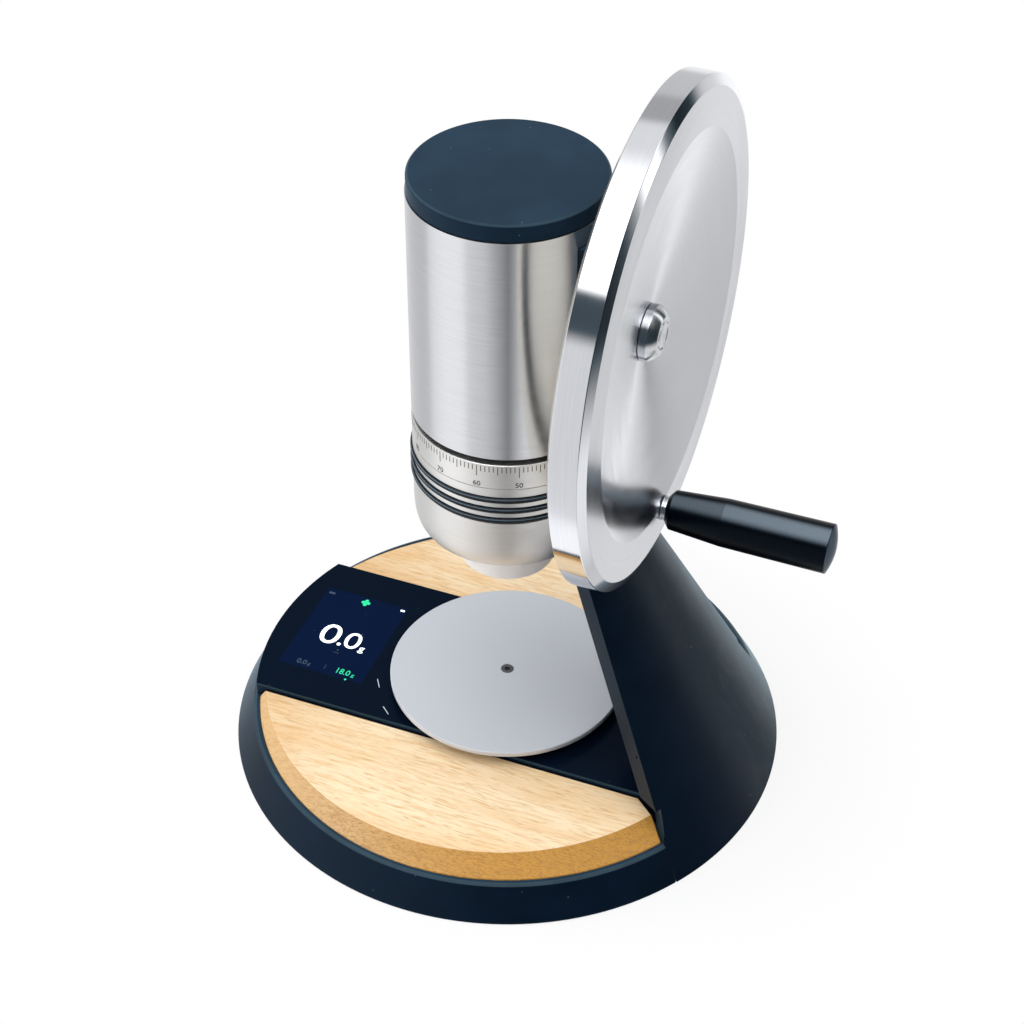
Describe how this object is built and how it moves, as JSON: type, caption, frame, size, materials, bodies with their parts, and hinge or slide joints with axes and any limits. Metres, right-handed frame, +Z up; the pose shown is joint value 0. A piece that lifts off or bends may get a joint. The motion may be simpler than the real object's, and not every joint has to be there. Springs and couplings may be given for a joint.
{
  "type": "manual coffee grinder",
  "caption": "Hand-cranked coffee grinder with a vertical flywheel, a cylindrical bean tube on a conical tower, a graduated grind dial and a round base with wood inlays and a weighing scale.",
  "frame": {"origin": "on the floor under the burr's vertical axis, at the centre of the round base", "axes": "+Z up; +X along the flywheel's shaft from the bean tube towards the hand grip; -X is the display's side; +Y completes the frame"},
  "size_m": [0.2995, 0.2794, 0.3759],
  "materials": {
    "dark_paint": "satin blue-black",
    "rubber": "matt",
    "oak": "oiled, pale",
    "scale_glass": "back-painted black, polished",
    "display": "black with light figures",
    "pan": "fine bead-blasted",
    "satin_steel": "satin",
    "flywheel_steel": "turned, satin",
    "dark_anodised": "satin blue-black",
    "frosted_plastic": "translucent, frosted",
    "board": "matt green",
    "battery_skin": "grey sleeve",
    "bronze": "plain",
    "inner_steel": "machined"
  },
  "bodies": {
    "stand": {"foot_pad": "rubber", "base_casting": "dark_paint", "front_ballast": "inner_steel", "rear_ballast": "inner_steel", "front_wood_panel": "oak", "rear_wood_panel": "oak", "scale_tray": "dark_paint", "scale_glass": "scale_glass", "display_panel": "display", "circuit_board": "board", "battery": "battery_skin", "load_cell": "inner_steel", "tower": "dark_paint", "neck_column": "dark_paint", "hopper_tube": "satin_steel", "threaded_sleeve": "dark_anodised", "gear_frame": "inner_steel", "gear_cover": "dark_anodised", "shaft_sleeve": "inner_steel", "shaft_bearing_inner": "inner_steel", "shaft_bearing_outer": "inner_steel", "burr_bearing": "inner_steel", "tower_screw_1": "inner_steel", "tower_screw_2": "inner_steel", "tower_screw_3": "inner_steel", "neck_screw_1": "inner_steel", "neck_screw_2": "inner_steel", "tube_screw_lower": "inner_steel", "tube_screw_upper": "inner_steel"},
    "flywheel": {"flywheel": "flywheel_steel", "drive_shaft": "inner_steel", "drive_pinion": "inner_steel", "hub_cap": "flywheel_steel", "flywheel_nut": "inner_steel", "handle_spindle": "inner_steel", "handle_collar": "flywheel_steel", "spindle_washer": "inner_steel"},
    "grip": {"handle_grip": "dark_anodised", "grip_bush_inner": "bronze", "grip_bush_outer": "bronze"},
    "burr": {"burr_shaft": "inner_steel", "driven_gear": "inner_steel", "cone_burr": "inner_steel", "burr_nut": "inner_steel"},
    "adjuster": {"dial_ring": "satin_steel", "adjusting_collar": "satin_steel", "grip_ring_1": "rubber", "grip_ring_2": "rubber", "grip_ring_3": "rubber", "grounds_bowl": "satin_steel", "ring_burr": "inner_steel", "chute": "frosted_plastic"},
    "lid": {"lid": "dark_paint", "lid_gasket": "rubber"},
    "pan": {"scale_pan": "pan", "pan_post": "inner_steel", "pan_screw": "inner_steel"}
  },
  "joints": [
    {"name": "flywheel_spin", "type": "hinge", "parent": "stand", "child": "flywheel", "pos_m": [0, 0, 0.2608], "axis": [1, 0, 0], "continuous": true},
    {"name": "burr_spin", "type": "hinge", "parent": "stand", "child": "burr", "pos_m": [0, 0, 0], "axis": [0, 0, 1], "continuous": true},
    {"name": "grip_spin", "type": "hinge", "parent": "flywheel", "child": "grip", "pos_m": [0.08, 0, 0.1648], "axis": [1, 0, 0], "continuous": true},
    {"name": "adjuster_turn", "type": "hinge", "parent": "stand", "child": "adjuster", "pos_m": [0, 0, 0], "axis": [0, 0, 1], "range_deg": [-153, 72]},
    {"name": "lid_lift", "type": "slide", "parent": "stand", "child": "lid", "axis": [0, 0, 1], "range_m": [0, 0.06]},
    {"name": "pan_press", "type": "slide", "parent": "stand", "child": "pan", "axis": [0, 0, 1], "range_m": [-0.00025, 0], "stiffness_N_per_m": 60000, "springref_m": 0.0001}
  ],
  "couplings": [
    {"joint": "burr_spin", "follows": "flywheel_spin", "ratio": 1}
  ]
}
